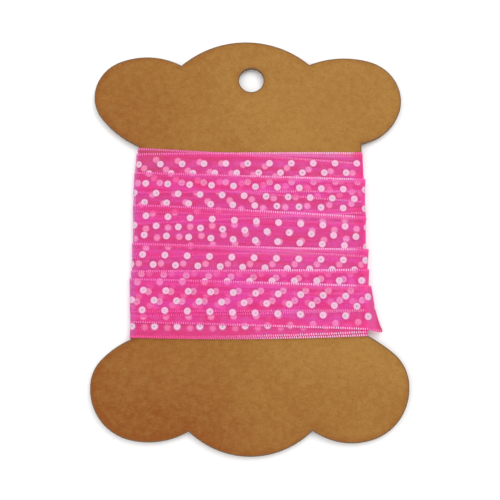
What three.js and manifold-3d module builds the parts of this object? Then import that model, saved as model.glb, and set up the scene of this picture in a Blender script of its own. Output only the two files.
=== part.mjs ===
// A kraft card bobbin with a sheer ribbon wound round its waist.
// It lies on its back. Millimetres, +X right, +Y towards the hang hole, +Z up.
import * as THREE from "three";
import { mergeVertices } from "three/addons/utils/BufferGeometryUtils.js";
import Module from "manifold-3d";

// Card
const CARD_THICKNESS = 0.8;
const ARC_STEP = 1.2;
const HOLE_RADIUS = 3.1;
const HOLE_X = 0.9;
const HOLE_Y = 40.75;
const HOLE_SIDES = 32;

// Ribbon, and how far its layers stand off the card's two faces
const RIBBON_WIDTH = 10.1;
const CLEARANCE = 0.4;
const SIDE_CLEARANCE = 0.46;
const CORE_FACE = 0.7;
const LOWER_EDGE_FACE = 0.86;
const UPPER_EDGE_FACE = 1.1;
const BACK_FACE = 1.1;

// Ends of the winding, where the ribbon turns over the sides of the card
const SIDE_INSET = 1.0;
const SIDE_POWER = 3;
const SIDE_STEPS = 12;
const CORE_SIDE = 0.66;

// Each later turn lies a little further out than the one before, with its root in the core
const STEP_OUT = 0.03;
const STEP_IN = 0.06;
const ROOT = 0.55;
const TURN_BACK = 0.98;

// The last turn stands off the right side in an open loop
const LOOP_SIDE = 3.5;
const LOOP_THICKNESS = 0.5;
const LOOP_POWER = 2.2;
const LOOP_DROP = 0.6;

const CARD_BOTTOM = BACK_FACE;
const CARD_MIDDLE = CARD_BOTTOM + CARD_THICKNESS / 2;

const KRAFT = { color: 0xb0804a, roughness: 0.85, metalness: 0 };
const PINK_ORGANZA = { color: 0xee3c96, roughness: 0.5, metalness: 0 };

// Each row ends one cut of the card's edge, anticlockwise. Radius 0 is a straight cut.
const EDGE_CUTS = [
  { x: 37.9, y: 33.1, radius: 12.4 },
  { x: 30.6, y: 45.6, radius: 10.6 },
  { x: 15.4, y: 44.8, radius: 22.7 },
  { x: -16.7, y: 44.6, radius: 24.0 },
  { x: -32.2, y: 45.5, radius: 18.0 },
  { x: -37.0, y: 31.7, radius: 9.7 },
  { x: -26.9, y: 23.5, radius: 24.0 },
  { x: -27.7, y: -23.9, radius: 0 },
  { x: -34.6, y: -28.8, radius: 20.6 },
  { x: -36.9, y: -34.9, radius: 8.7 },
  { x: -27.8, y: -47.0, radius: 12.3 },
  { x: -13.7, y: -45.2, radius: 18.9 },
  { x: 15.0, y: -45.0, radius: 20.8 },
  { x: 28.5, y: -47.2, radius: 15.9 },
  { x: 37.8, y: -35.2, radius: 12.7 },
  { x: 34.2, y: -27.0, radius: 9.9 },
  { x: 28.3, y: -23.0, radius: 36.0 },
  { x: 28.0, y: 24.2, radius: 0 },
];

// Sides of the waist, from its lower to its upper corner
const WAIST_LEFT = { lowerX: -27.7, lowerY: -23.9, upperX: -26.9, upperY: 23.5 };
const WAIST_RIGHT = { lowerX: 28.3, lowerY: -23.0, upperX: 28.0, upperY: 24.2 };

// The core of inner turns, and the turns that show, in the order they were wound.
// Left and right give how high up the card an edge lies at each side of the waist.
// A turn is given by its upper edge.
const CORE_UPPER = { left: 22.5, right: 21.3 };
const CORE_LOWER = { left: -23.1, right: -21.9 };
const TURNS = [
  { left: 22.8, right: 19.1, loop: false },
  { left: -13.3, right: -12.0, loop: false },
  { left: 21.3, right: 21.5, loop: false },
  { left: 16.6, right: 15.2, loop: false },
  { left: 8.2, right: 5.8, loop: false },
  { left: -0.9, right: -2.1, loop: false },
  { left: -7.1, right: -7.6, loop: false },
  { left: -9.7, right: -11.5, loop: true },
];

const wasm = await Module();
wasm.setup();

function meshNamed(name, geometry, finish) {
  const mesh = new THREE.Mesh(geometry, new THREE.MeshStandardMaterial(finish));
  mesh.name = name;
  return mesh;
}

function toManifold(geometry) {
  const bare = new THREE.BufferGeometry();
  bare.setAttribute("position", geometry.getAttribute("position"));
  bare.setIndex(geometry.getIndex());
  const merged = mergeVertices(bare, 1e-5);
  const vertProperties = new Float32Array(merged.getAttribute("position").array);
  const triVerts = new Uint32Array(merged.getIndex().array);
  return new wasm.Manifold(new wasm.Mesh({ numProp: 3, vertProperties, triVerts }));
}

function fromManifold(solid) {
  const { vertProperties, triVerts } = solid.getMesh();
  const geometry = new THREE.BufferGeometry();
  geometry.setAttribute("position", new THREE.BufferAttribute(vertProperties, 3));
  geometry.setIndex(new THREE.BufferAttribute(triVerts, 1));
  geometry.computeVertexNormals();
  return geometry;
}

// Points from start towards end along an anticlockwise arc, without the end itself
function arcPoints(start, end, radius) {
  if (radius === 0) {
    return [start.clone()];
  }
  const chord = end.clone().sub(start);
  const half = chord.length() / 2;
  const rise = Math.sqrt(radius * radius - half * half);
  const inward = new THREE.Vector2(-chord.y, chord.x).normalize();
  const centre = start.clone().add(end).multiplyScalar(0.5).addScaledVector(inward, rise);
  const first = start.clone().sub(centre).angle();
  const sweep = 2 * Math.asin(half / radius);
  const steps = Math.ceil((sweep * radius) / ARC_STEP);
  const points = [];
  for (let i = 0; i < steps; i += 1) {
    const angle = first + (sweep * i) / steps;
    const spoke = new THREE.Vector2(Math.cos(angle), Math.sin(angle));
    points.push(centre.clone().addScaledVector(spoke, radius));
  }
  return points;
}

// The card's edge, moved so that its own box is centred on the origin
function cardOutline() {
  const corners = EDGE_CUTS.map((cut) => new THREE.Vector2(cut.x, cut.y));
  const points = EDGE_CUTS.flatMap((cut, i) => {
    const start = corners[(i + corners.length - 1) % corners.length];
    return arcPoints(start, corners[i], cut.radius);
  });
  const middle = new THREE.Box2().setFromPoints(points).getCenter(new THREE.Vector2());
  return points.map((point) => point.sub(middle));
}

function cardGeometry() {
  const shape = new THREE.Shape(cardOutline());
  const hole = new THREE.Path();
  hole.absarc(HOLE_X, HOLE_Y, HOLE_RADIUS, 0, 2 * Math.PI, true);
  shape.holes.push(new THREE.Path(hole.getSpacedPoints(HOLE_SIDES).slice(0, HOLE_SIDES)));
  return new THREE.ExtrudeGeometry(shape, { depth: CARD_THICKNESS, bevelEnabled: false });
}

function waistX(side, y) {
  const t = (y - side.lowerY) / (side.upperY - side.lowerY);
  return THREE.MathUtils.lerp(side.lowerX, side.upperX, t);
}

function signedPower(value, power) {
  return Math.sign(value) * Math.abs(value) ** power;
}

// One point where the ribbon turns over a side. Turn runs from 1 on the front to -1 on the back.
function turnPoint(sign, turn, y, off) {
  const edge = waistX(sign > 0 ? WAIST_RIGHT : WAIST_LEFT, y);
  const angle = (turn * Math.PI) / 2;
  const height = CARD_THICKNESS / 2 + (turn > 0 ? off.front : off.back);
  const across = signedPower(Math.cos(angle), 2 / off.power) * (off.inset + off.side) - off.inset;
  const up = signedPower(Math.sin(angle), 2 / off.power) * height;
  const lower = (off.drop ?? 0) * Math.cos(angle);
  return new THREE.Vector3(edge + sign * across, y - lower, CARD_MIDDLE + up);
}

// A closed ring round the waist. Upper and lower are its edges on the card at each side,
// and offsetsAt gives how far each corner of its section stands off the card there.
function ring(upper, lower, offsetsAt) {
  const stations = [];
  for (const sign of [-1, 1]) {
    const side = sign > 0 ? "right" : "left";
    const off = offsetsAt(side);
    for (let i = 0; i <= SIDE_STEPS; i += 1) {
      const turn = sign * (1 - (2 * i) / SIDE_STEPS);
      stations.push([
        turnPoint(sign, turn, upper[side], off.outerUpper),
        turnPoint(sign, turn, lower[side], off.outerLower),
        turnPoint(sign, turn, lower[side], off.innerLower),
        turnPoint(sign, turn, upper[side], off.innerUpper),
      ]);
    }
  }
  return loft(stations);
}

// A closed solid through stations of equal size that come round to the first again
function loft(stations) {
  const size = stations[0].length;
  const positions = stations.flat().flatMap((point) => [point.x, point.y, point.z]);
  const index = [];
  for (let i = 0; i < stations.length; i += 1) {
    const here = i * size;
    const next = ((i + 1) % stations.length) * size;
    for (let j = 0; j < size; j += 1) {
      const k = (j + 1) % size;
      index.push(here + j, here + k, next + k, here + j, next + k, next + j);
    }
  }
  const geometry = new THREE.BufferGeometry();
  geometry.setAttribute("position", new THREE.Float32BufferAttribute(positions, 3));
  geometry.setIndex(index);
  return geometry;
}

// The packed inner turns: one sleeve round the waist, clear of the card, with a flat back
function coreGeometry() {
  const shape = { inset: SIDE_INSET, power: SIDE_POWER };
  const outer = { ...shape, front: CORE_FACE, back: BACK_FACE, side: CORE_SIDE };
  const inner = { ...shape, front: CLEARANCE, back: CLEARANCE, side: SIDE_CLEARANCE };
  const offsets = { outerUpper: outer, outerLower: outer, innerLower: inner, innerUpper: inner };
  return ring(CORE_UPPER, CORE_LOWER, () => offsets);
}

// One turn that shows. Its upper edge rides on the turn before it and its lower edge lies flat.
function turnGeometry(turn, place) {
  const shape = { inset: SIDE_INSET + STEP_IN * (place + 1), power: SIDE_POWER };
  const side = CORE_SIDE + STEP_OUT * (place + 1);
  const root = { ...shape, front: ROOT, back: ROOT, side: CORE_SIDE - STEP_OUT };
  const outerUpper = { ...shape, front: UPPER_EDGE_FACE, back: TURN_BACK, side };
  const outerLower = { ...outerUpper, front: LOWER_EDGE_FACE };
  const plain = { outerUpper, outerLower, innerLower: root, innerUpper: root };
  const loop = { power: LOOP_POWER, drop: LOOP_DROP };
  const looped = {
    ...plain,
    outerLower: { ...outerLower, ...loop, side: LOOP_SIDE },
    innerLower: { ...root, ...loop, side: LOOP_SIDE - LOOP_THICKNESS },
  };
  const lower = { left: turn.left - RIBBON_WIDTH, right: turn.right - RIBBON_WIDTH };
  return ring(turn, lower, (where) => (turn.loop && where === "right" ? looped : plain));
}

function windingGeometry() {
  let solid = toManifold(coreGeometry());
  TURNS.forEach((turn, place) => {
    solid = solid.add(toManifold(turnGeometry(turn, place)));
  });
  return fromManifold(solid);
}

const part = new THREE.Group();
const card = meshNamed("card", cardGeometry(), KRAFT);
card.position.z = CARD_BOTTOM;
part.add(card);
part.add(meshNamed("ribbon_winding", windingGeometry(), PINK_ORGANZA));

export default part;
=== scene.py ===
"""A kraft card bobbin wound with sheer dotted ribbon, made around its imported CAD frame.

Tables hold millimetres. Every size that a user may change is a property, in metres.
"""
import math
from collections import namedtuple
from functools import partial, reduce

import bmesh
import bpy
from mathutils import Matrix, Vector


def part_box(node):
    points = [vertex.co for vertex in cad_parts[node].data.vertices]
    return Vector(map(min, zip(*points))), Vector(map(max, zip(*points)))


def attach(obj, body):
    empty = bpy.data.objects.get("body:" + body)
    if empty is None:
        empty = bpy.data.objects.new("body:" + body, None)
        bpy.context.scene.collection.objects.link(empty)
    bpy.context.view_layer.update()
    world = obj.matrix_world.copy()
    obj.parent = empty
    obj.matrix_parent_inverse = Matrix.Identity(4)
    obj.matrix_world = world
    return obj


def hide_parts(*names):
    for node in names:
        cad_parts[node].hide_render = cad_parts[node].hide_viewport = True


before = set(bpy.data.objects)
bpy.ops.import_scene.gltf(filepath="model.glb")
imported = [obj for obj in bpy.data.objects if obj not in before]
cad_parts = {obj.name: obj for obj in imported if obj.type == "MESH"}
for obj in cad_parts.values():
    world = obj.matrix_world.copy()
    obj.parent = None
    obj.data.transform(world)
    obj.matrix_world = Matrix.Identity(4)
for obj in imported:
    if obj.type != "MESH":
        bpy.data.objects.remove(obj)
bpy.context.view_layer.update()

bl_info = {
    "name": "Card of organza ribbon",
    "version": (1, 0, 0),
    "blender": (4, 5, 0),
    "location": "3D Viewport > Sidebar > Ribbon card",
    "description": "Makes a kraft card bobbin wound with sheer dotted ribbon",
    "category": "Object",
}

MM = 0.001
BODY = "root"
CARD_LOW, CARD_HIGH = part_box("card")
CARD_MIDDLE = (CARD_LOW.z + CARD_HIGH.z) / 2 / MM
CARD_HALF = (CARD_HIGH.z - CARD_LOW.z) / 2 / MM

# Each row ends one cut of the card's edge, anticlockwise. Radius 0 is a straight cut.
Cut = namedtuple("Cut", "x y radius")
EDGE_CUTS = [
    Cut(37.9, 33.1, 12.4),
    Cut(30.6, 45.6, 10.6),
    Cut(15.4, 44.8, 22.7),
    Cut(-16.7, 44.6, 24.0),
    Cut(-32.2, 45.5, 18.0),
    Cut(-37.0, 31.7, 9.7),
    Cut(-26.9, 23.5, 24.0),
    Cut(-27.7, -23.9, 0.0),
    Cut(-34.6, -28.8, 20.6),
    Cut(-36.9, -34.9, 8.7),
    Cut(-27.8, -47.0, 12.3),
    Cut(-13.7, -45.2, 18.9),
    Cut(15.0, -45.0, 20.8),
    Cut(28.5, -47.2, 15.9),
    Cut(37.8, -35.2, 12.7),
    Cut(34.2, -27.0, 9.9),
    Cut(28.3, -23.0, 36.0),
    Cut(28.0, 24.2, 0.0),
]
HOLE_X, HOLE_Y = 0.9, 40.75

# The two sides of the waist that the ribbon turns over, from lower to upper corner.
# The covered turns reach past them by inner_reach, and further with their height.
Waist = namedtuple("Waist", "sign lower_x lower_y upper_x upper_y inner_reach rise")
LEFT = Waist(-1, -27.7, -23.9, -26.9, 23.5, 0.04, 0.30)
RIGHT = Waist(1, 28.3, -23.0, 28.0, 24.2, 0.04, 0.24)

# Turns in the order they were wound. Left and right give how high up the card the upper
# edge lies at each side, and phase is where along the card a dot of the outer rows falls.
# Bow is how far the turn's middle lies above the straight way, and extra is how much wider
# it is pulled. The reaches of a turn that shows are those of its upper and its lower edge.
Turn = namedtuple(
    "Turn", "left right phase bow extra left_reach right_reach",
    defaults=(0.0, 0.0, None, None))
FIRST_PASS = [
    Turn(22.0, 21.0, -24.0),
    Turn(14.2, 12.4, -22.7),
    Turn(6.3, 4.2, -21.9),
    Turn(-2.2, -4.2, -24.4),
    Turn(-9.4, -11.2, -23.2),
]
SECOND_PASS = [
    Turn(-13.5, -13.1, -24.3, bow=-0.5),
    Turn(-13.35, -12.35, -22.05, bow=-0.45),
    Turn(-8.6, -7.4, -23.25),
    Turn(-3.0, -3.3, -20.8),
    Turn(5.4, 7.8, -24.6),
    Turn(13.75, 16.4, -23.2),
    Turn(22.9, 19.2, -22.5, bow=0.25),
]
THIRD_PASS = [
    Turn(21.45, 21.7, -21.4, 0.12, 0.0, (0.48, 0.88), (0.28, 0.46)),
    Turn(16.7, 15.1, -24.85, 0.0, 0.0, (0.82, 0.72), (0.80, 0.72)),
    Turn(8.65, 5.75, -24.62, 0.1, 0.0, (0.84, 0.40), (0.62, 0.50)),
    Turn(-0.85, -2.3, -25.2, -0.10, 0.0, (0.66, 0.28), (1.02, 0.80)),
    Turn(-7.55, -7.2, -20.94, 0.0, 0.0, (0.62, 0.50), (0.98, 1.05)),
    Turn(-9.45, -11.05, -24.82, 0.05, 0.55, (0.88, 0.24), (1.35, 3.72)),
]
TURNS = FIRST_PASS + SECOND_PASS + THIRD_PASS

# How far a pass lies off the card: its first turn, the rise from turn to turn, and how
# much higher its upper edge and its lower edge ride on the turn before.
Layer = namedtuple("Layer", "turns base rise upper lower")
LAYERS = [
    Layer(len(FIRST_PASS), 0.14, 0.012, 0.14, 0.0),
    Layer(len(SECOND_PASS), 0.42, 0.02, 0.0, 0.16),
    Layer(len(THIRD_PASS), 0.75, 0.012, 0.24, 0.0),
]

# Ends of the winding, the open loop of the last turn, and the turns after which the
# ribbon is cut into its three pieces
SIDE_INSET = 1.0
SIDE_POWER = 2.6
LOOP_POWER = 2.5
LOOP_DROP = 0.15
LOOP_CURL = 1.3
LOOP_SAG = 0.36
START_X = -20.0
END_X = -8.0
END_LEFT = -12.6
FRONT_STEPS = 44
SIDE_STEPS = 16
BACK_STEPS = 24
CUT_AFTER = (6, 12)

# The swell of the layers, and the hollow of the open loop, over the ribbon's width
SWELL_SPREAD = 7.0
SWELL_SEED = 4.0
LIFT_SHARE = 0.6
HOLLOW_POWER = 1.5
HOLLOW_SCALE = 5.38
SAG_START = (28.2, 29.4)

STITCH_SIDES = 5
STITCH_LEAN = 0.12
STITCH_SIZES = (0.82, 1.12)
STITCH_SEED = 7

# The card's rounded edge and its faces
RIM_SHARES = (0.35, 1.0)
LEAST_SLANT = 0.75
FACE_LEVEL = 0.8
FLAT_LEVEL = 0.999

# Turn and start of each lay of fibres in the kraft
FIBRE_LAYS = ((0.35, 3.0), (1.55, 11.0), (2.6, 23.0))
FIBRE_SCALE = (0.55, 7.0, 1.0)

# The cloth's threads, and the number of its last row of dots
WARP_PITCH = 0.31
WEFT_PITCH = 0.265
LAST_ROW = 2.0

# Between which two places on the card the ribbon's look changes
LOWEST_STRIP = (-20.6, -19.4)
LOWEST_STITCHES = (-22.2, -21.4)
ABOVE_LOOP = (-12.5, -11.0)
LEFT_END = (-27.7, -26.0)
SELVAGE_END = (25.0, 26.8)
STITCH_END = (25.0, 26.6)
LOWER_EDGE_FURTHER = 2.2
RIGHT_END = (25.2, 27.6)
RIGHT_SIDE = (27.2, 28.6)
LOOP_START = (27.9, 29.0)
LOOP_TIP = (29.8, 31.4)

# Shades of the cloth, its stitches and its dots
GRAIN_PINK = (0.62, 0.018, 0.20)
# Painted sheen for the left end of the ribbon
PAINTED_LEFT_SHEEN = (0.80, 0.17, 0.58)
LOOP_PINK = (0.75, 0.070, 0.30)
TIP_PINK = (0.66, 0.018, 0.14)
# Painted shade for where the ribbon turns away over the sides
PAINTED_SIDE_SHADE = (0.60, 0.11, 0.42)
RING_PINK = (0.62, 0.075, 0.30)
DEEP_STITCH = (0.88, 0.06, 0.23)
LAVENDER = (1.0, 0.75, 1.0)
FLECK_GREY = (0.24, 0.28, 0.32)

FLOOR_HALF = 1.5
RIBBON_MAP = "RibbonMap"
PATH_VALUES = (
    "upper", "lower", "facing", "inward", "lift", "sag", "wide", "upper_length", "lower_length",
    "across")

# How plainly the dots of a pass show where cloth covers them and at the lowest strip, how far
# their rims blur in millimetres, how far their colour is taken towards lavender, as dots look
# through the cloth above them, and how much of their grey shows in the two places.
Print = namedtuple("Print", "covered lowest blur pale grey lowest_grey")
PRINTS = {
    "inner": Print(0.5, 0.9, 0.25, 0.3, 0.0, 0.0),
    "middle": Print(0.95, 1.0, 0.12, 0.4, 0.0, 1.0),
    "outer": Print(1.0, 1.0, 0.0, 0.0, 1.0, 1.0),
}


def metres(name, description, default, low):
    """A property that holds a length in metres."""
    return bpy.props.FloatProperty(
        name=name, description=description, default=default, min=low, precision=5, unit="LENGTH")


def colour_setting(name, description, default):
    """A property that holds a colour."""
    return bpy.props.FloatVectorProperty(
        name=name, description=description, default=default, min=0, max=1, subtype="COLOR")


class CardLook(bpy.types.PropertyGroup):
    """Sizes and colours of the kraft card"""

    thickness: metres("Board thickness", "Thickness of the board", CARD_HIGH.z - CARD_LOW.z, 0.0002)
    hole_radius: metres("Hole radius", "Radius of the hang hole", 0.0031, 0.001)
    edge_round: metres("Edge rounding", "How far the die rounds the cut edge", 0.00011, 0.00001)
    rim_width: metres("Rim width", "Width of the darker rim inside the cut edge", 0.0018, 0.0002)
    kraft: colour_setting("Kraft", "Main colour of the board", (0.346, 0.176, 0.0400))
    # Dark kraft also gives the painted shade towards the board's lower left corner
    dark_kraft_and_shade: colour_setting(
        "Dark kraft", "Colour of the darker mottling and the rim", (0.233, 0.068, 0.0115))
    cut_edge: colour_setting("Cut edge", "Colour of the board's cut edge", (0.165, 0.095, 0.048))


class RibbonSizes(bpy.types.PropertyGroup):
    """Sizes of the ribbon, its dots and its selvages"""

    width: metres("Ribbon width", "Width from edge to edge", 0.0101, 0.003)
    points_across: bpy.props.IntProperty(
        name="Points across", description="Points across the ribbon's mesh",
        default=11, min=2, max=24)
    ripple: bpy.props.FloatProperty(
        name="Ripple", description="How far the layers swell, as a share of their height",
        default=0.10, min=0, max=0.3, subtype="FACTOR")
    ripple_length: metres("Ripple length", "Size of one swell", 0.009, 0.001)
    dot_radius: metres("Dot radius", "Radius of a printed dot", 0.00087, 0.0001)
    dot_pitch: metres(
        "Dot pitch", "Distance along the ribbon between two dots of a row", 0.005345, 0.001)
    first_row: metres(
        "First row", "Distance of the first row of dots from the upper edge", 0.0028, 0.0005)
    row_gap: metres("Row gap", "Distance between two rows of dots", 0.00235, 0.0005)
    selvage: metres("Selvage width", "Width of the closer weave at each edge", 0.00120, 0.0001)
    stitch_pitch: metres(
        "Stitch pitch", "Distance between two stitches of a selvage", 0.00053, 0.0002)
    stitch_length: metres("Stitch length", "Length of a stitch across the selvage", 0.00050, 0.0001)
    stitch_width: metres("Stitch width", "Width of the thread of a stitch", 0.00023, 0.00005)
    stitch_height: metres(
        "Stitch height", "How far a stitch stands off the ribbon", 0.00005, 0.00001)


class RibbonLook(bpy.types.PropertyGroup):
    """Colours of the ribbon"""

    pink: colour_setting("Pink", "Colour of the organza's threads", (0.99, 0.044, 0.325))
    violet: colour_setting(
        "Violet pink", "Colour of the cooler streaks in the organza", (1.0, 0.089, 0.57))
    pale: colour_setting(
        "Pale pink", "Colour of the closer threads of the selvage", (0.97, 0.20, 0.57))
    dot: colour_setting("Dot", "Colour of the printed dots", (0.94, 0.52, 0.74))
    glitter: colour_setting("Glitter", "Colour of the grey glitter in the dots", (0.60, 0.57, 0.63))
    thread: colour_setting(
        "Stitch thread", "Colour of the stitches along the selvage", (0.98, 0.64, 0.90))
    coverage: bpy.props.FloatProperty(
        name="Coverage", description="Share of the organza that its threads cover",
        default=0.37, min=0.1, max=1, subtype="FACTOR")


class StageLook(bpy.types.PropertyGroup):
    """Floor, light and camera"""

    floor: colour_setting("Floor", "Colour of the floor", (0.94, 0.94, 0.94))
    key: bpy.props.FloatProperty(
        name="Key light", description="Power of the soft light at the upper right",
        default=1.65, min=0, unit="POWER")
    fill: bpy.props.FloatProperty(
        name="Fill light", description="Power of the soft light at the left",
        default=1.2, min=0, unit="POWER")
    sky: bpy.props.FloatProperty(
        name="Surroundings", description="Brightness of the plain surroundings",
        default=0.77, min=0)
    camera_place: bpy.props.FloatVectorProperty(
        name="Camera place", description="Where the camera stands",
        default=(0.00056, -0.03624, 0.19192), precision=5, subtype="TRANSLATION")
    camera_tilt: bpy.props.FloatProperty(
        name="Camera tilt", description="How far the camera leans back from straight down",
        default=math.radians(10.083), subtype="ANGLE")
    camera_view: bpy.props.FloatProperty(
        name="Field of view", description="How wide the camera sees",
        default=math.radians(34.67), subtype="ANGLE")


class Tree:
    """Adds nodes to a node tree. An input is a value or another node's output."""

    def __init__(self, tree):
        self.tree = tree
        tree.nodes.clear()

    def add(self, kind, inputs=None, **settings):
        node = self.tree.nodes.new(kind)
        for name, value in settings.items():
            setattr(node, name, value)
        for place, value in (inputs or {}).items():
            if isinstance(value, bpy.types.NodeSocket):
                self.tree.links.new(value, node.inputs[place])
            else:
                node.inputs[place].default_value = value
        return node

    def out(self, kind, inputs=None, **settings):
        """The first output of a new node."""
        return self.add(kind, inputs, **settings).outputs[0]

    def math(self, operation, *values):
        return self.out("ShaderNodeMath", dict(enumerate(values)), operation=operation)

    def plus(self, *values):
        return reduce(partial(self.math, "ADD"), values)

    def times(self, *values):
        return reduce(partial(self.math, "MULTIPLY"), values)

    def minus(self, value, less):
        return self.math("SUBTRACT", value, less)

    def within(self, value, low=0.0, high=1.0):
        """The value, held between low and high."""
        return self.math("MINIMUM", self.math("MAXIMUM", value, low), high)

    def wave(self, value, length):
        """A wave from -1 to 1 that repeats with the given length."""
        return self.math("SINE", self.times(value, 2 * math.pi / length))

    def scaled(self, vector, factor):
        inputs = {0: vector, "Scale": factor}
        return self.out("ShaderNodeVectorMath", inputs, operation="SCALE")

    def moved(self, vector, way):
        return self.out("ShaderNodeVectorMath", {0: vector, 1: way}, operation="ADD")

    def parts(self, vector):
        """The x and the y of a vector."""
        return self.add("ShaderNodeSeparateXYZ", {0: vector}).outputs[:2]

    def packed(self, x=0.0, y=0.0, z=0.0):
        return self.out("ShaderNodeCombineXYZ", {0: x, 1: y, 2: z})

    def ramp(self, value, low, high, low_result=0.0, high_result=1.0):
        """A smooth step from low_result at low to high_result at high."""
        inputs = {0: value, 1: low, 2: high, 3: low_result, 4: high_result}
        return self.out("ShaderNodeMapRange", inputs, interpolation_type="SMOOTHSTEP")

    def mix(self, share, first, second):
        return self.out("ShaderNodeMix", {0: share, 2: first, 3: second})

    def blend(self, share, first, second):
        """A mix of two colours."""
        inputs = {0: share, 6: opaque(first), 7: opaque(second)}
        return self.add("ShaderNodeMix", inputs, data_type="RGBA").outputs[2]

    def noise(self, vector, scale, detail=2.0, roughness=0.5):
        inputs = {"Vector": vector, "Scale": scale, "Detail": detail, "Roughness": roughness}
        return self.add("ShaderNodeTexNoise", inputs).outputs["Fac"]

    def stretched_noise(self, vector, scale, detail=2.0, roughness=0.5, **placing):
        """Noise with its own scale along each axis."""
        inputs = {"Vector": vector, "Scale": scale, **placing}
        return self.noise(self.out("ShaderNodeMapping", inputs), 1.0, detail, roughness)

    def attribute(self, name):
        return self.add("ShaderNodeAttribute", attribute_name=name).outputs["Fac"]

    def surface(self, shader):
        self.add("ShaderNodeOutputMaterial", {0: shader})

    def bump(self, height, distance, strength):
        inputs = {"Height": height, "Distance": distance, "Strength": strength}
        return self.out("ShaderNodeBump", inputs)

    def named(self, name, kind="FLOAT"):
        """What the points of a geometry hold under a name."""
        return self.out("GeometryNodeInputNamedAttribute", {"Name": name}, data_type=kind)

    def stored(self, geometry, name, value, kind="FLOAT", domain="POINT"):
        inputs = {"Geometry": geometry, "Name": name, "Value": value}
        return self.out("GeometryNodeStoreNamedAttribute", inputs, data_type=kind, domain=domain)

    def chance(self, low, high, seed):
        """A value between low and high that differs from point to point."""
        inputs = {2: low, 3: high, "Seed": seed}
        return self.add("FunctionNodeRandomValue", inputs, data_type="FLOAT").outputs[1]


def opaque(colour):
    """A colour with full alpha, or a socket as it is."""
    if isinstance(colour, bpy.types.NodeSocket):
        return colour
    return (*colour, 1.0)


def shaded(colour, factor):
    return tuple(min(1.0, value * factor) for value in colour)


def new_material(name):
    material = bpy.data.materials.new(name)
    material.use_nodes = True
    return material, Tree(material.node_tree)


def object_millimetres(nodes):
    """Object coordinates in millimetres."""
    place = nodes.add("ShaderNodeTexCoord").outputs["Object"]
    return nodes.scaled(place, 1 / MM)


def kraft_face(look):
    """Matte kraft: soft mottling, short fibres, small specks, a darker rim and painted shade
    towards the lower left.
    """
    material, nodes = new_material("kraft_face")
    place = object_millimetres(nodes)
    broad = nodes.noise(place, 0.045)
    mottle = nodes.noise(place, 0.8, 4.0, 0.68)
    grain = nodes.noise(place, 2.4, 3.0, 0.7)
    rim = nodes.attribute("rim")

    fibres = 0.0
    for turn, start in FIBRE_LAYS:
        placing = {"Rotation": (0, 0, turn), "Location": (start, start, 0)}
        strand = nodes.stretched_noise(place, FIBRE_SCALE, 1.0, 0.4, **placing)
        fibres = nodes.plus(fibres, nodes.ramp(strand, 0.63, 0.72))
    fibres = nodes.math("MINIMUM", fibres, 1.0)
    specks = nodes.add("ShaderNodeTexVoronoi", {"Vector": place, "Scale": 0.42})
    chance = nodes.out("ShaderNodeSeparateColor", {0: specks.outputs["Color"]})
    speck = nodes.ramp(specks.outputs["Distance"], 0.035, 0.06, 1.0, 0.0)
    speck = nodes.times(speck, nodes.ramp(chance, 0.55, 0.6))

    # Painted shade: the board darkens towards its lower left corner, away from the light
    right, up = nodes.parts(place)
    dark = nodes.plus(
        nodes.ramp(nodes.plus(right, nodes.times(up, 0.2)), -42.0, 22.0, 0.57, 0.0),
        nodes.ramp(up, -48.0, -26.0, 0.27, 0.0),
        nodes.ramp(mottle, 0.30, 0.70, 0.22, -0.09),
        nodes.ramp(broad, 0.35, 0.65, 0.11, -0.04),
        nodes.times(rim, 0.30),
    )
    colour = nodes.blend(nodes.within(dark), look.kraft, look.dark_kraft_and_shade)
    deep = shaded(look.dark_kraft_and_shade, 0.6)
    for share, tint in (
        (nodes.times(fibres, 0.24), shaded(look.kraft, 1.3)),
        (nodes.ramp(grain, 0.30, 0.50, 0.30, 0.0), deep),
        (nodes.times(speck, 0.45), deep),
        (nodes.ramp(rim, 0.77, 0.90, 0.0, 0.9), look.cut_edge),
    ):
        colour = nodes.blend(share, colour, tint)
    height = nodes.plus(nodes.times(grain, 0.6), nodes.times(fibres, 0.5))
    shader = nodes.out("ShaderNodeBsdfPrincipled", {
        "Base Color": colour,
        "Roughness": nodes.ramp(mottle, 0.3, 0.7, 0.92, 0.78),
        "Specular IOR Level": 0.18,
        "Normal": nodes.bump(height, 0.02 * MM, 0.5),
    })
    nodes.surface(shader)
    return material


def kraft_edge(look):
    """The cut edge: grey-brown plies pressed together, rougher than the face."""
    material, nodes = new_material("kraft_cut_edge")
    place = object_millimetres(nodes)
    plies = nodes.stretched_noise(place, (0.8, 0.8, 9.0), 4.0, 0.6)
    fuzz = nodes.noise(place, 7.0, 3.0, 0.7)
    deep = shaded(look.cut_edge, 0.72)
    colour = nodes.blend(nodes.ramp(plies, 0.35, 0.65), deep, shaded(look.cut_edge, 1.45))
    height = nodes.plus(plies, nodes.times(fuzz, 0.6))
    shader = nodes.out("ShaderNodeBsdfPrincipled", {
        "Base Color": nodes.blend(nodes.ramp(fuzz, 0.35, 0.6, 0.3, 0.0), colour, deep),
        "Roughness": 0.95,
        "Specular IOR Level": 0.1,
        "Normal": nodes.bump(height, 0.06 * MM, 0.7),
    })
    nodes.surface(shader)
    return material


def dot_field(nodes, along, across, sizes):
    """Millimetres to the middle of the nearest printed dot, and the dot's column and row."""
    pitch, gap = sizes.dot_pitch / MM, sizes.row_gap / MM
    offset = nodes.minus(across, sizes.first_row / MM)
    row = nodes.within(nodes.math("ROUND", nodes.math("DIVIDE", offset, gap)), 0.0, LAST_ROW)
    shift = nodes.times(nodes.math("MODULO", row, 2.0), 0.5)
    column = nodes.minus(nodes.math("DIVIDE", along, pitch), shift)
    cell = nodes.math("ROUND", column)
    beside = nodes.times(nodes.minus(column, cell), pitch)
    above = nodes.minus(offset, nodes.times(row, gap))
    squares = nodes.plus(nodes.times(beside, beside), nodes.times(above, above))
    return nodes.math("SQRT", squares), nodes.packed(cell, row)


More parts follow.
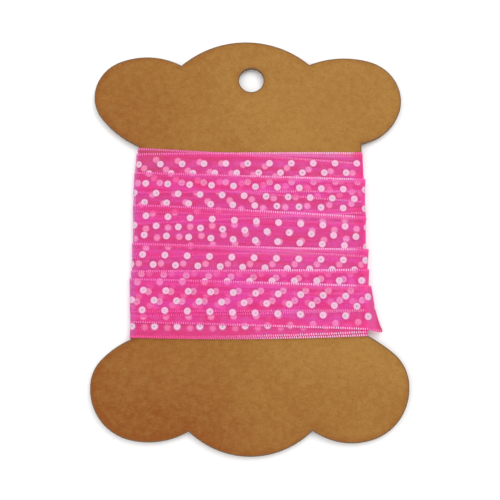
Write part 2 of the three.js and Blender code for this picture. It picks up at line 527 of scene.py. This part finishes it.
def organza(sizes, look, name):
    """Sheer pink cloth with printed glitter dots, a closer weave along both edges, and painted
    sheen and shade.
    """
    material, nodes = new_material(f"dotted_organza_{name}")
    prints = PRINTS[name]
    width, radius, selvage = sizes.width / MM, sizes.dot_radius / MM, sizes.selvage / MM
    cloth = nodes.out("ShaderNodeUVMap", uv_map=RIBBON_MAP)
    along, across = nodes.parts(cloth)
    right, up = nodes.parts(object_millimetres(nodes))
    low = nodes.ramp(up, *LOWEST_STRIP, 1.0, 0.0)
    streak = nodes.stretched_noise(cloth, (0.045, 1.9, 1.0), 3.0, 0.6)
    cloud = nodes.stretched_noise(cloth, (0.10, 0.42, 1.0))
    speckle = nodes.noise(cloth, 4.2, 3.0, 0.75)
    grain = nodes.noise(cloth, 2.2, 2.0, 0.6)
    weave = nodes.plus(nodes.wave(across, WARP_PITCH), nodes.wave(along, WEFT_PITCH))
    weave = nodes.times(weave, 0.5)
    bend = nodes.attribute("bend")

    # The printed dots, a little ragged, and the darker ring round each
    away, key = dot_field(nodes, along, across, sizes)
    away = nodes.plus(away, nodes.times(nodes.minus(speckle, 0.5), 0.16))
    near, far = radius - 0.17 - prints.blur, radius + 0.12 + prints.blur
    dot = nodes.ramp(away, near, far, nodes.mix(low, prints.covered, prints.lowest), 0.0)
    plain = nodes.mix(low, prints.grey, prints.lowest_grey)
    halo = nodes.ramp(away, radius, radius + 0.5, nodes.times(plain, 0.55), 0.0)

    # The selvages show most at the lower edge, and a painted highlight makes them show most at the
    # right
    inward = nodes.math("MINIMUM", across, nodes.minus(width, across))
    closer = nodes.times(
        nodes.ramp(inward, selvage - 0.5, selvage + 0.3, 1.0, 0.0),
        nodes.ramp(across, width / 2, width / 2 + 0.1, 1.0, 0.25),
        nodes.ramp(right, -22.0, 18.0, 0.3, 1.0),
    )
    band = nodes.times(closer, nodes.ramp(right, *SELVAGE_END, 1.0, 0.2))
    tooth = nodes.ramp(nodes.wave(along, sizes.stitch_pitch / MM), -0.5, 0.7)
    shown = nodes.minus(1.0, nodes.times(low, nodes.ramp(right, -22.0, 14.0, 0.75, 0.0)))
    band, closer = nodes.times(band, shown), nodes.times(closer, shown)

    # Share of the cloth that its threads and its dots cover
    cover = nodes.plus(
        nodes.ramp(streak, 0.3, 0.7, look.coverage - 0.04, look.coverage + 0.05),
        nodes.times(low, 0.10),
        nodes.times(weave, 0.03),
        nodes.ramp(grain, 0.35, 0.65, -0.02, 0.02),
    )
    cover = nodes.mix(closer, cover, nodes.ramp(tooth, 0.0, 1.0, 0.52, 0.70))
    cover = nodes.mix(nodes.times(nodes.ramp(bend, 0.05, 0.7), 0.5), cover, 0.85)
    cover = nodes.mix(nodes.ramp(right, *RIGHT_SIDE, 0.0, 0.85), cover, 0.95)
    cover = nodes.math("MAXIMUM", cover, nodes.times(dot, 0.97))

    violet = nodes.plus(
        nodes.ramp(cloud, 0.40, 0.60),
        nodes.ramp(streak, 0.4, 0.7, -0.18, 0.25),
        # Painted sheen: the cloth grows cooler and paler towards the right
        nodes.ramp(right, -25.0, 25.0, -0.12, 0.12),
        nodes.times(low, -0.5),
    )
    pale = nodes.times(band, nodes.ramp(tooth, 0.0, 1.0, 0.25, 0.8))
    # Painted light: above the loop the right end turns back to a warmer pink
    painted_warm_end = nodes.ramp(right, *RIGHT_END, 0.0, 0.55)
    colour = nodes.blend(nodes.within(violet), look.pink, look.violet)
    for share, tint in (
        (nodes.math("MAXIMUM", nodes.ramp(streak, 0.5, 0.8, 0.0, 0.15), pale), look.pale),
        (nodes.ramp(grain, 0.36, 0.60, 0.22, 0.0), GRAIN_PINK),
        # Painted sheen: a cooler, paler pink at the left end
        (nodes.ramp(right, *LEFT_END, 0.7, 0.0), PAINTED_LEFT_SHEEN),
        (nodes.times(painted_warm_end, nodes.ramp(up, *ABOVE_LOOP, 0.1, 1.0)), look.pink),
        (nodes.ramp(right, *LOOP_START, 0.0, 0.85), LOOP_PINK),
        (nodes.ramp(right, *LOOP_TIP, 0.0, 0.85), TIP_PINK),
        # Painted shade where the ribbon turns away over the sides
        (nodes.ramp(bend, 0.72, 1.0, 0.0, 0.5), PAINTED_SIDE_SHADE),
        (halo, RING_PINK),
    ):
        colour = nodes.blend(share, colour, tint)

    # Grey glitter lies thickest in the middle of a dot and differs from dot to dot
    luck = nodes.out("ShaderNodeTexWhiteNoise", {0: key}, noise_dimensions="3D")
    grey = nodes.plus(
        nodes.ramp(away, 0.0, radius * 0.95, 0.85, 0.0),
        nodes.ramp(speckle, 0.56, 0.68, 0.0, 0.4),
    )
    grey = nodes.math("MINIMUM", grey, 1.0)
    grey = nodes.times(grey, nodes.ramp(luck, 0.0, 1.0, 0.45, 1.0), plain)
    fleck = nodes.ramp(away, radius * 0.15, radius * 0.6, 0.9, 0.0)
    fleck = nodes.times(nodes.ramp(grain, 0.50, 0.64), fleck, plain)
    printed = Vector(look.dot).lerp(Vector(LAVENDER), prints.pale)
    spot = nodes.blend(grey, printed, look.glitter)
    spot = nodes.blend(fleck, spot, FLECK_GREY)
    colour = nodes.blend(dot, colour, spot)

    height = nodes.plus(
        nodes.times(weave, 0.25),
        nodes.times(dot, plain, 0.9),
        nodes.times(band, tooth, 0.8),
    )
    threads = nodes.out("ShaderNodeBsdfPrincipled", {
        "Base Color": colour,
        "Roughness": nodes.mix(dot, 0.46, nodes.ramp(speckle, 0.5, 0.62, 0.6, 0.32)),
        "Specular IOR Level": 0.35,
        "Sheen Weight": 0.12,
        "Sheen Roughness": 0.4,
        "Normal": nodes.bump(height, 0.03 * MM, 0.6),
    })
    through = nodes.out("ShaderNodeBsdfTranslucent", {"Color": colour})
    threads = nodes.out("ShaderNodeMixShader", {0: 0.2, 1: threads, 2: through})
    gaps = nodes.out("ShaderNodeBsdfTransparent")
    shader = nodes.out("ShaderNodeMixShader", {0: cover, 1: gaps, 2: threads})
    nodes.surface(shader)
    return material


def stitch_thread(look):
    """Shiny pale thread whose stitches differ a little in shade, with a painted highlight that
    grows towards the right.
    """
    material, nodes = new_material("selvage_thread")
    place = object_millimetres(nodes)
    right, up = nodes.parts(place)
    twist = nodes.noise(place, 9.0, 1.0)
    share = nodes.plus(nodes.attribute("shade"), nodes.times(nodes.minus(twist, 0.5), 2.0))
    # Painted highlight: the stitches grow paler towards the right
    share = nodes.plus(nodes.times(share, 0.4), nodes.ramp(right, -24.0, 24.0, -0.6, 0.85))
    low = nodes.ramp(up, *LOWEST_STITCHES, 1.0, 0.0)
    low = nodes.times(low, nodes.ramp(right, -16.0, 8.0, 0.75, 0.0))
    end = nodes.minus(right, nodes.times(nodes.attribute("tone"), LOWER_EDGE_FURTHER))
    colour = nodes.blend(nodes.within(share), look.pale, look.thread)
    colour = nodes.blend(low, colour, DEEP_STITCH)
    shader = nodes.out("ShaderNodeBsdfPrincipled", {
        "Base Color": nodes.blend(nodes.ramp(end, *STITCH_END, 0.0, 0.85), colour, look.pink),
        "Roughness": nodes.ramp(twist, 0.3, 0.7, 0.32, 0.5),
        "Specular IOR Level": 0.5,
    })
    nodes.surface(shader)
    return material


def pale_floor(look):
    """A plain matte floor."""
    material, nodes = new_material("pale_floor")
    inputs = {"Base Color": opaque(look.floor), "Roughness": 0.9, "Specular IOR Level": 0.1}
    shader = nodes.out("ShaderNodeBsdfPrincipled", inputs)
    nodes.surface(shader)
    return material


def arc_points(start, end, radius, step=0.45):
    """Points from start towards end along an anticlockwise arc, without the end itself."""
    chord = end - start
    if radius == 0:
        return [start]
    half = chord.length / 2
    rise = math.sqrt(radius * radius - half * half)
    centre = (start + end) / 2 + Vector((-chord.y, chord.x)).normalized() * rise
    first = math.atan2(start.y - centre.y, start.x - centre.x)
    sweep = 2 * math.asin(half / radius)
    steps = math.ceil(sweep * radius / step)
    angles = [first + sweep * i / steps for i in range(steps)]
    return [centre + radius * Vector((math.cos(a), math.sin(a))) for a in angles]


def card_outline():
    """The card's edge in millimetres, centred on its own box."""
    corners = [Vector((cut.x, cut.y)) for cut in EDGE_CUTS]
    points = []
    for i, cut in enumerate(EDGE_CUTS):
        points += arc_points(corners[i - 1], corners[i], cut.radius)
    low = Vector((min(p.x for p in points), min(p.y for p in points)))
    high = Vector((max(p.x for p in points), max(p.y for p in points)))
    return [p - (low + high) / 2 for p in points]


def hole_outline(radius, sides=72):
    """The hang hole's edge in millimetres, clockwise, so that inward is away from the hole."""
    angles = [-2 * math.pi * i / sides for i in range(sides)]
    return [Vector((HOLE_X + radius * math.cos(a), HOLE_Y + radius * math.sin(a))) for a in angles]


def moved_in(points, distance):
    """A closed outline moved in to its left by a distance."""
    moved = []
    for i, point in enumerate(points):
        before = (point - points[i - 1]).normalized()
        after = (points[(i + 1) % len(points)] - point).normalized()
        inward = Vector((-before.y - after.y, before.x + after.x)).normalized()
        slant = max(LEAST_SLANT, Vector((-before.y, before.x)).dot(inward))
        moved.append(point + inward * distance / slant)
    return moved


def card_section(look):
    """Distance in from the edge and height of each ring of the card, from back to front."""
    half, bend = look.thickness / MM / 2, look.edge_round / MM
    upper = [(bend * (1 - math.cos(a)), half - bend * (1 - math.sin(a)))
             for a in (math.radians(d) for d in (0, 30, 60, 90))]
    upper += [(look.rim_width / MM * share, half) for share in RIM_SHARES]
    lower = [(inset, -height) for inset, height in reversed(upper)]
    return lower + upper


def card_mesh(look, materials):
    """The board: rings round its edge and its hole, closed by flat faces."""
    mesh = bmesh.new()
    rim = mesh.verts.layers.float.new("rim")
    section = card_section(look)
    ends = {0: [], len(section) - 1: []}
    width = look.rim_width / MM
    for outline in (card_outline(), hole_outline(look.hole_radius / MM)):
        rings = []
        for inset, height in section:
            ring = []
            for point in moved_in(outline, inset):
                place = Vector((point.x, point.y, CARD_MIDDLE + height)) * MM
                vert = mesh.verts.new(place)
                vert[rim] = 1 - inset / width
                ring.append(vert)
            rings.append(ring)
        for lower, upper in zip(rings, rings[1:]):
            for i in range(len(lower)):
                j = (i + 1) % len(lower)
                face = mesh.faces.new((lower[i], lower[j], upper[j], upper[i]))
                face.smooth = True
        for end in ends:
            ends[end] += [mesh.edges.get((rings[end][i - 1], rings[end][i]))
                          for i in range(len(rings[end]))]
    for edges in ends.values():
        bmesh.ops.triangle_fill(mesh, edges=edges, use_beauty=True)
    bmesh.ops.recalc_face_normals(mesh, faces=mesh.faces)
    for face in mesh.faces:
        level = abs(face.normal.z)
        face.material_index = 0 if level > FACE_LEVEL else 1
        if level > FLAT_LEVEL:
            face.smooth = False
    data = bpy.data.meshes.new("kraft_card")
    mesh.to_mesh(data)
    mesh.free()
    for material in materials:
        data.materials.append(material)
    return data


def linked(name, data):
    """A new object at the origin that shows the data."""
    piece = bpy.data.objects.new(name, data)
    bpy.context.scene.collection.objects.link(piece)
    return piece


def waist_x(waist, y):
    share = (y - waist.lower_y) / (waist.upper_y - waist.lower_y)
    return waist.lower_x + (waist.upper_x - waist.lower_x) * share


def signed_power(value, power):
    return math.copysign(abs(value) ** power, value)


def between(first, second, share):
    return first + (second - first) * share


def heights(number):
    """How far a turn's upper and lower edge lie off the card's faces."""
    for layer in LAYERS:
        if number < layer.turns:
            base = layer.base + layer.rise * number
            return base + layer.upper, base + layer.lower
        number -= layer.turns


def smooth_step(value, low, high):
    share = min(1.0, max(0.0, (value - low) / (high - low)))
    return share * share * (3 - 2 * share)


def side_point(waist, angle, y, height, reach=None, power=SIDE_POWER, drop=0.0, curl=0.0):
    """A point of the ribbon's edge over a side: angle 90 degrees is the front, -90 the back."""
    if reach is None:
        reach = waist.inner_reach + waist.rise * height
    round_x = signed_power(math.cos(angle), 2 / power) if abs(angle) < math.pi / 2 else 0.0
    round_z = signed_power(math.sin(angle), 2 / power)
    x = waist_x(waist, y) + waist.sign * (round_x * (SIDE_INSET + reach) - SIDE_INSET)
    z = CARD_MIDDLE + round_z * (CARD_HALF + height)
    lower = drop * math.cos(angle) + curl * math.cos(angle) ** 2 * math.sin(angle)
    return Vector((x, y - lower, z))


def side_stations(waist, number, falling, width, looped=False):
    """Pairs of upper and lower edge points where a turn goes round one side."""
    turn = TURNS[number]
    upper = turn.left if waist is LEFT else turn.right
    reaches = turn.left_reach if waist is LEFT else turn.right_reach
    rows = (upper, upper - width - turn.extra)
    shapes = [(reach,) for reach in reaches or (None, None)]
    if looped:
        loop = (LOOP_POWER, LOOP_DROP)
        shapes = [(reaches[0], *loop), (reaches[1], *loop, LOOP_CURL)]
    stations = []
    for i in range(SIDE_STEPS + 1):
        angle = math.pi / 2 - math.pi * i / SIDE_STEPS
        angle = angle if falling else -angle
        pair = [side_point(waist, angle, y, height, *shape)
                for y, height, shape in zip(rows, heights(number), shapes)]
        stations.append(pair)
    return stations


def joined(start, end, steps, bow=0.0):
    """Stations on the way between two pairs of edge points, without its two ends."""
    pairs = []
    for i in range(1, steps):
        share = i / steps
        raised = Vector((0.0, 4 * bow * share * (1 - share), 0.0))
        pairs.append([between(a, b, share) + raised for a, b in zip(start, end)])
    return pairs


def cut_at(pairs, x):
    """The first pair, moved along its way to where the ribbon is cut."""
    start, end = pairs
    share = (x - start[0].x) / (end[0].x - start[0].x)
    return [between(a, b, share) for a, b in zip(start, end)]


def wound_stations(width):
    """All stations of the ribbon in order, each with the turn whose front it lies on or -1."""
    stations = []
    count = len(TURNS)
    for number in range(count):
        left = side_stations(LEFT, number, False, width)
        right = side_stations(RIGHT, number, True, width, looped=number == count - 1)
        front = (left[-1], right[0])
        if number == 0:
            front = (cut_at(front, START_X), right[0])
        else:
            stations += [(pair, -1) for pair in left[:-1]]
        stations.append((front[0], number))
        stations += [(pair, number) for pair in joined(*front, FRONT_STEPS, TURNS[number].bow)]
        stations.append((front[1], number))
        stations += [(pair, -1) for pair in right[1:]]
        if number + 1 < count:
            after = side_stations(LEFT, number + 1, False, width)[0]
        else:
            level = heights(number)
            rows = (END_LEFT, END_LEFT - width)
            after = [side_point(LEFT, -math.pi / 2, y, height) for y, height in zip(rows, level)]
            after = cut_at((right[-1], after), END_X)
        stations += [(pair, -1) for pair in joined(right[-1], after, BACK_STEPS)]
        if number + 1 == count:
            stations.append((after, -1))
    return stations


def cloth_lengths(stations, sizes):
    """Millimetres of cloth up to each station along the upper and the lower edge.

    The dots of each front come to their places, and its rows stand square to its slant. After
    the last front, where the ribbon stands off in a loop, each edge has its own length.
    """
    pitch = sizes.dot_pitch / MM
    middles = [(pair[0] + pair[1]) / 2 for pair, _ in stations]
    walked = [0.0]
    for before, after in zip(middles, middles[1:]):
        walked.append(walked[-1] + (after - before).length)
    known = {}
    for i, (pair, number) in enumerate(stations):
        if number >= 0:
            turn = TURNS[number]
            slant = (turn.left - turn.right) / (RIGHT.upper_x - LEFT.upper_x)
            depths = (-sizes.first_row / MM, (sizes.width - sizes.first_row) / MM)
            known[i] = [middles[i].x - turn.phase + slant * depth for depth in depths]
    lengths = [None] * len(stations)
    shift = 0.0
    last = None
    for i in sorted(known):
        gap = last is not None and i > last + 1
        if gap:
            wanted = sum(lengths[last]) / 2 + walked[i] - walked[last]
            shift = round((wanted - sum(known[i]) / 2) / pitch) * pitch
        lengths[i] = [length + shift for length in known[i]]
        if gap:
            for j in range(last + 1, i):
                share = (walked[j] - walked[last]) / (walked[i] - walked[last])
                lengths[j] = [between(a, b, share) for a, b in zip(lengths[last], lengths[i])]
        last = i
    for j in range(last + 1, len(stations)):
        steps = [(here - before).length for here, before in zip(stations[j][0], stations[j - 1][0])]
        lengths[j] = [length + step for length, step in zip(lengths[j - 1], steps)]
    return lengths


def path_mesh(name, rows, values):
    """A line of points with one named value or vector at each."""
    data = bpy.data.meshes.new(name)
    edges = [(i, i + 1) for i in range(len(rows) - 1)]
    data.from_pydata([tuple(row) for row in rows], edges, [])
    for key, items in values.items():
        if isinstance(items[0], float):
            data.attributes.new(key, "FLOAT", "POINT").data.foreach_set("value", items)
        else:
            flat = [number for item in items for number in item]
            data.attributes.new(key, "FLOAT_VECTOR", "POINT").data.foreach_set("vector", flat)
    return data


def new_geometry_tree(name, sockets):
    """A geometry tree with a geometry output and the named inputs."""
    tree = bpy.data.node_groups.new(name, "GeometryNodeTree")
    tree.is_modifier = True
    tree.interface.new_socket("Geometry", in_out="INPUT", socket_type="NodeSocketGeometry")
    for label, kind in sockets.items():
        tree.interface.new_socket(label, in_out="INPUT", socket_type=f"NodeSocket{kind}")
    tree.interface.new_socket("Geometry", in_out="OUTPUT", socket_type="NodeSocketGeometry")
    return tree, Tree(tree)


def end_geometry_tree(nodes, geometry, material):
    """Ends a tree in one plain mesh of one material."""
    geometry = nodes.out("GeometryNodeRealizeInstances", {0: geometry})
    geometry = nodes.out("GeometryNodeSetMaterial", {"Geometry": geometry, "Material": material})
    nodes.add("NodeGroupOutput", {0: geometry})


def strip_tree():
    """Sweeps the ribbon's width along its path, with a slight swell and a map of the cloth."""
    tree, nodes = new_geometry_tree("ribbon_strip", {
        "Points across": "Int",
        "Ripple": "Float",
        "Ripple length": "Float",
        "Seed": "Float",
        "Cloth": "Material",
    })
    given = nodes.add("NodeGroupInput").outputs
    path = nodes.out("GeometryNodeMeshToCurve", {0: given["Geometry"]})
    line = nodes.out("GeometryNodeCurvePrimitiveLine", {"End": (0.0, MM, 0.0)})
    inputs = {"Curve": line, "Count": given["Points across"]}
    line = nodes.out("GeometryNodeResampleCurve", inputs)
    factor = nodes.add("GeometryNodeSplineParameter").outputs["Factor"]
    line = nodes.stored(line, "across", factor)
    strip = nodes.out("GeometryNodeCurveToMesh", {"Curve": path, "Profile Curve": line})
    across = nodes.named("across")
    upper, lower, facing = (
        nodes.named(name, "FLOAT_VECTOR") for name in ("upper", "lower", "facing"))
    inputs = {0: across, 4: upper, 5: lower}
    place = nodes.add("ShaderNodeMix", inputs, data_type="VECTOR").outputs[1]

    # The swell fades out at both edges, and the open loop sags between them
    inputs = {
        "Vector": place,
        "W": given["Seed"],
        "Scale": nodes.math("DIVIDE", 1.0, given["Ripple length"]),
        "Detail": 1.0,
    }
    swell = nodes.add("ShaderNodeTexNoise", inputs, noise_dimensions="4D").outputs["Fac"]
    rest = nodes.minus(1.0, across)
    middle = nodes.math("MINIMUM", nodes.times(across, rest, SWELL_SPREAD), 1.0)
    ripple = nodes.times(given["Ripple"], 2.0)
    swell = nodes.times(nodes.minus(swell, 0.5), ripple, nodes.named("lift"), middle)
    hollow = nodes.times(nodes.math("POWER", across, HOLLOW_POWER), rest)
    hollow = nodes.times(hollow, nodes.times(nodes.named("sag"), HOLLOW_SCALE))
    place = nodes.moved(place, nodes.scaled(facing, nodes.minus(swell, hollow)))
    strip = nodes.out("GeometryNodeSetPosition", {"Geometry": strip, "Position": place})

    along = nodes.mix(across, nodes.named("upper_length"), nodes.named("lower_length"))
    spot = nodes.packed(along, nodes.times(across, nodes.named("wide")))
    strip = nodes.stored(strip, RIBBON_MAP, spot, "FLOAT2", "CORNER")
    strip = nodes.out("GeometryNodeSetShadeSmooth", {"Geometry": strip})
    end_geometry_tree(nodes, strip, given["Cloth"])
    return tree


def stitch_tree():
    """Sets small stitches side by side along the ribbon's edges."""
    tree, nodes = new_geometry_tree("selvage_stitches", {
        "Pitch": "Float",
        "Length": "Float",
        "Thread width": "Float",
        "Height": "Float",
        "Seed": "Int",
        "Thread": "Material",
    })
    given = nodes.add("NodeGroupInput").outputs
    path = nodes.out("GeometryNodeMeshToCurve", {0: given["Geometry"]})
    inputs = {"Curve": path, "Length": given["Pitch"]}
    path = nodes.out("GeometryNodeResampleCurve", inputs, mode="LENGTH")
    stitch = nodes.out("GeometryNodeMeshCylinder", {
        "Vertices": STITCH_SIDES,
        "Side Segments": 2,
        "Radius": nodes.times(given["Thread width"], 0.5),
        "Depth": given["Length"],
    })
    middle = nodes.packed(y=nodes.times(given["Length"], 0.5))
    inputs = {"Geometry": stitch, "Translation": middle, "Rotation": (math.pi / 2, 0.0, 0.0)}
    stitch = nodes.out("GeometryNodeTransform", inputs)
    flat = nodes.packed(1.0, 1.0, nodes.math("DIVIDE", given["Height"], given["Thread width"]))
    stitch = nodes.out("GeometryNodeTransform", {"Geometry": stitch, "Scale": flat})
    stitch = nodes.out("GeometryNodeSetShadeSmooth", {"Geometry": stitch})

    # Each stitch lies flat and points inward, and leans and differs in length a little
    inputs = {0: nodes.named("facing", "FLOAT_VECTOR"), 1: nodes.named("inward", "FLOAT_VECTOR")}
    turn = nodes.out("FunctionNodeAxesToRotation", inputs, primary_axis="Z", secondary_axis="Y")
    lean = nodes.packed(z=nodes.chance(-STITCH_LEAN, STITCH_LEAN, given["Seed"]))
    inputs = {"Rotation": turn, "Rotate By": nodes.out("FunctionNodeEulerToRotation", {0: lean})}
    turn = nodes.out("FunctionNodeRotateRotation", inputs, rotation_space="LOCAL")
    size = nodes.chance(*STITCH_SIZES, nodes.plus(given["Seed"], 1.0))
    size = nodes.packed(1.0, size, 1.0)
    inputs = {"Points": path, "Instance": stitch, "Rotation": turn, "Scale": size}
    stitches = nodes.out("GeometryNodeInstanceOnPoints", inputs)
    shade = nodes.chance(0.0, 1.0, nodes.plus(given["Seed"], 2.0))
    stitches = nodes.stored(stitches, "shade", shade, domain="INSTANCE")
    end_geometry_tree(nodes, stitches, given["Thread"])
    return tree


def made_plain(piece, tree, values):
    """Runs a geometry tree on a piece and keeps its result as a plain mesh."""
    modifier = piece.modifiers.new(tree.name, "NODES")
    modifier.node_group = tree
    for item in tree.interface.items_tree:
        if item.in_out == "INPUT" and item.name in values:
            modifier[item.identifier] = values[item.name]
    depsgraph = bpy.context.evaluated_depsgraph_get()
    made = piece.evaluated_get(depsgraph)
    data = bpy.data.meshes.new_from_object(made, preserve_all_data_layers=True, depsgraph=depsgraph)
    piece.modifiers.remove(modifier)
    for name in PATH_VALUES:
        if name in data.attributes:
            data.attributes.remove(data.attributes[name])
    piece.data = data
    data.name = piece.name


def ribbon_parts(sizes):
    """The ribbon's stations, cut into its three pieces where they are hidden."""
    width = sizes.width / MM
    stations = wound_stations(width)
    lengths = cloth_lengths(stations, sizes)
    pairs = [pair for pair, _ in stations]
    rows = []
    for i, (upper, lower) in enumerate(pairs):
        before, after = pairs[max(0, i - 1)], pairs[min(len(pairs) - 1, i + 1)]
        tangent = (after[0] + after[1]) - (before[0] + before[1])
        facing = (lower - upper).cross(tangent).normalized()
        rows.append((upper * MM, lower * MM, facing, lengths[i]))
    per_turn = len(stations) / len(TURNS)
    cuts = [round(per_turn * turns) for turns in CUT_AFTER]
    ends = [0, *cuts, len(stations) - 1]
    return {name: rows[start:end + 1] for name, start, end in zip(PRINTS, ends, ends[1:])}


class CARD_OT_make(bpy.types.Operator):
    """Make the kraft card with its lobes, waist and hang hole"""

    bl_idname = "ribbon_card.make_card"
    bl_label = "Make card"

    def execute(self, context):
        look = context.scene.card_look
        materials = [kraft_face(look), kraft_edge(look)]
        piece = linked("kraft_card", card_mesh(look, materials))
        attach(piece, BODY)
        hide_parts("card")
        return {"FINISHED"}


class RIBBON_OT_wind(bpy.types.Operator):
    """Wind the sheer ribbon round the waist of the card"""

    bl_idname = "ribbon_card.wind_ribbon"
    bl_label = "Wind ribbon"

    def execute(self, context):
        sizes, look = context.scene.ribbon_sizes, context.scene.ribbon_look
        tree = strip_tree()
        for name, rows in ribbon_parts(sizes).items():
            uppers, lowers, facings, lengths = zip(*rows)
            lift = [abs(upper.z / MM - CARD_MIDDLE) * MM * LIFT_SHARE for upper in uppers]
            sag = [LOOP_SAG * MM * smooth_step(upper.x / MM, *SAG_START) for upper in uppers]
            values = {
                "upper": uppers,
                "lower": lowers,
                "facing": facings,
                "lift": lift,
                "wide": [(lower - upper).length / MM for upper, lower in zip(uppers, lowers)],
                "sag": sag,
                "bend": [1 - abs(way.z) for way in facings],
                "upper_length": [length[0] for length in lengths],
                "lower_length": [length[1] for length in lengths],
            }
            piece = linked(f"ribbon_{name}", path_mesh(f"ribbon_{name}", uppers, values))
            made_plain(piece, tree, {
                "Points across": sizes.points_across,
                "Ripple": sizes.ripple,
                "Ripple length": sizes.ripple_length,
                "Seed": SWELL_SEED,
                "Cloth": organza(sizes, look, name),
            })
            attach(piece, BODY)
            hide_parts("ribbon_winding")
            cloth_length = (sum(lengths[-1]) - sum(lengths[0])) / 2
            piece["cloth_length"] = cloth_length * MM
        return {"FINISHED"}


class RIBBON_OT_stitch(bpy.types.Operator):
    bl_idname = "ribbon_card.stitch_edges"
    bl_label = "Stitch edges"

    def execute(self, context):
        sizes, look = context.scene.ribbon_sizes, context.scene.ribbon_look
        tree = stitch_tree()
        thread = stitch_thread(look)
        for name, rows in ribbon_parts(sizes).items():
            uppers, lowers, facings, _ = zip(*rows)
            both = bmesh.new()
            for tone, (edge, opposite) in enumerate(((uppers, lowers), (lowers, uppers))):
                path = path_mesh(f"stitches_{name}", edge, {
                    "facing": facings,
                    "inward": [(end - start).normalized() for start, end in zip(edge, opposite)],
                    "tone": [float(tone)] * len(edge),
                })
                both.from_mesh(path)
            both.to_mesh(path)
            both.free()
            piece = linked(f"stitches_{name}", path)
            made_plain(piece, tree, {
                "Pitch": sizes.stitch_pitch,
                "Length": sizes.stitch_length,
                "Thread width": sizes.stitch_width,
                "Height": sizes.stitch_height,
                "Seed": STITCH_SEED,
                "Thread": thread,
            })
            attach(piece, BODY)
        return {"FINISHED"}


def area_light(name, place, size, power):
    """A soft square light that faces the card."""
    data = bpy.data.lights.new(name, "AREA")
    data.size = size
    data.energy = power
    light = linked(name, data)
    light.location = place
    light.rotation_euler = (-Vector(place)).to_track_quat("-Z", "Y").to_euler()


class STAGE_OT_set(bpy.types.Operator):
    """Set the floor, the soft lights and the camera"""

    bl_idname = "ribbon_card.set_stage"
    bl_label = "Set stage"

    def execute(self, context):
        scene, look = context.scene, context.scene.stage_look
        data = bpy.data.meshes.new("floor")
        signs = ((-1, -1), (1, -1), (1, 1), (-1, 1))
        corners = [(x * FLOOR_HALF, y * FLOOR_HALF, 0) for x, y in signs]
        data.from_pydata(corners, [], [(0, 1, 2, 3)])
        data.materials.append(pale_floor(look))
        linked("floor", data)
        area_light("key_light", place=(0.22, 0.20, 0.55), size=0.45, power=look.key)
        area_light("fill_light", place=(-0.38, -0.10, 0.50), size=0.6, power=look.fill)
        world = bpy.data.worlds.new("plain_surroundings")
        world.use_nodes = True
        background = world.node_tree.nodes["Background"]
        background.inputs["Color"].default_value = (1.0, 1.0, 1.0, 1.0)
        background.inputs["Strength"].default_value = look.sky
        scene.world = world
        scene.view_settings.view_transform = "Standard"
        camera = bpy.data.cameras.new("camera")
        camera.angle = look.camera_view
        camera.clip_start = 0.01
        camera = linked("camera", camera)
        camera.location = look.camera_place
        camera.rotation_euler = (look.camera_tilt, 0.0, 0.0)
        scene.camera = camera
        return {"FINISHED"}


class CARD_PT_panel(bpy.types.Panel):
    """Sizes, colours and steps of the ribbon card"""

    bl_idname = "CARD_PT_ribbon_card"
    bl_label = "Card of organza ribbon"
    bl_space_type = "VIEW_3D"
    bl_region_type = "UI"
    bl_category = "Ribbon card"

    def draw(self, context):
        for operator, group in STEPS:
            box = self.layout.box()
            box.operator(operator.bl_idname)
            look = getattr(context.scene, group)
            for name in look.__annotations__:
                box.prop(look, name)


GROUPS = {
    "card_look": CardLook,
    "ribbon_sizes": RibbonSizes,
    "ribbon_look": RibbonLook,
    "stage_look": StageLook,
}
STEPS = [
    (STAGE_OT_set, "stage_look"),
    (CARD_OT_make, "card_look"),
    (RIBBON_OT_wind, "ribbon_sizes"),
    (RIBBON_OT_stitch, "ribbon_look"),
]
CLASSES = [*GROUPS.values(), *[operator for operator, _ in STEPS], CARD_PT_panel]


def register():
    for kind in CLASSES:
        bpy.utils.register_class(kind)
    for name, group in GROUPS.items():
        setattr(bpy.types.Scene, name, bpy.props.PointerProperty(type=group))


def unregister():
    for name in GROUPS:
        delattr(bpy.types.Scene, name)
    for kind in reversed(CLASSES):
        bpy.utils.unregister_class(kind)


def main():
    register()
    for operator, _ in STEPS:
        family, name = operator.bl_idname.split(".")
        getattr(getattr(bpy.ops, family), name)()


if __name__ == "__main__":
    main()
